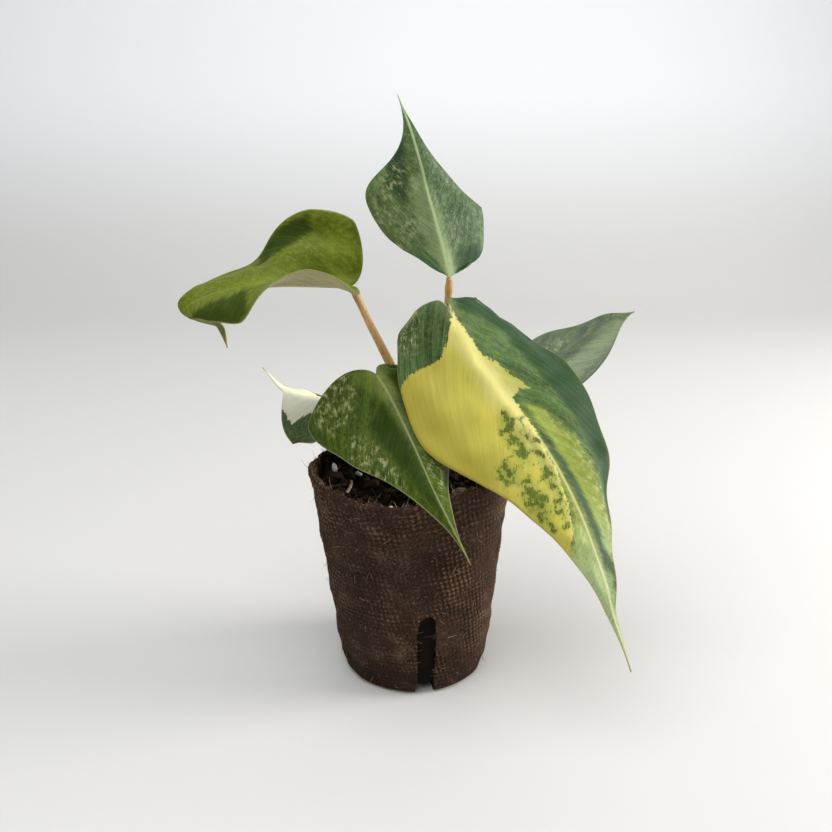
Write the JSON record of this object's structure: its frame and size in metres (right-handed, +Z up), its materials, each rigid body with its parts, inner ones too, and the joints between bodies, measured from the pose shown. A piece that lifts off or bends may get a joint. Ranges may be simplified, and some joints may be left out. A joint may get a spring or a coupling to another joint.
{
  "type": "potted philodendron",
  "caption": "Small potted plant: a tapered moulded-fibre nursery pot with drainage slots, filled with soil, and a short stem with heart-shaped variegated leaves on bent stalks.",
  "frame": {"origin": "centre of the pot's underside, where it rests on the table", "axes": "+Z up along the pot; -Y is the front, the side that the large drooping leaf and one drainage slot face; +X is to the right seen from the front"},
  "size_m": [0.1383, 0.0944, 0.171],
  "materials": {
    "fibre": "moulded dark brown coir and wood fibre, rough, with a woven mesh imprint",
    "soil": null,
    "stem": null,
    "petiole": null,
    "perlite": "white expanded mineral grain, matt",
    "bark": "broken bark chip, rough",
    "root": "thin dry root",
    "blade_top": null,
    "blade_large": null,
    "blade_front": null,
    "blade_left": null,
    "blade_right": null,
    "blade_back": null
  },
  "bodies": {
    "root": {"fibre_pot": "fibre", "potting_soil": "soil", "stem": "stem", "leaf_top_petiole": "petiole", "leaf_large_petiole": "petiole", "leaf_front_petiole": "petiole", "leaf_left_petiole": "petiole", "leaf_right_petiole": "petiole", "leaf_back_petiole": "petiole", "leaf_top_blade": "blade_top", "leaf_large_blade": "blade_large", "leaf_front_blade": "blade_front", "leaf_left_blade": "blade_left", "leaf_right_blade": "blade_right", "leaf_back_blade": "blade_back", "perlite_1": "perlite", "perlite_2": "perlite", "perlite_3": "perlite", "perlite_4": "perlite", "perlite_5": "perlite", "perlite_6": "perlite", "perlite_7": "perlite", "perlite_8": "perlite", "bark_1": "bark", "bark_2": "bark", "bark_3": "bark", "bark_4": "bark", "bark_5": "bark", "bark_6": "bark", "bark_7": "bark", "bark_8": "bark", "root_loop": "root", "root_strand": "root"}
  },
  "joints": []
}
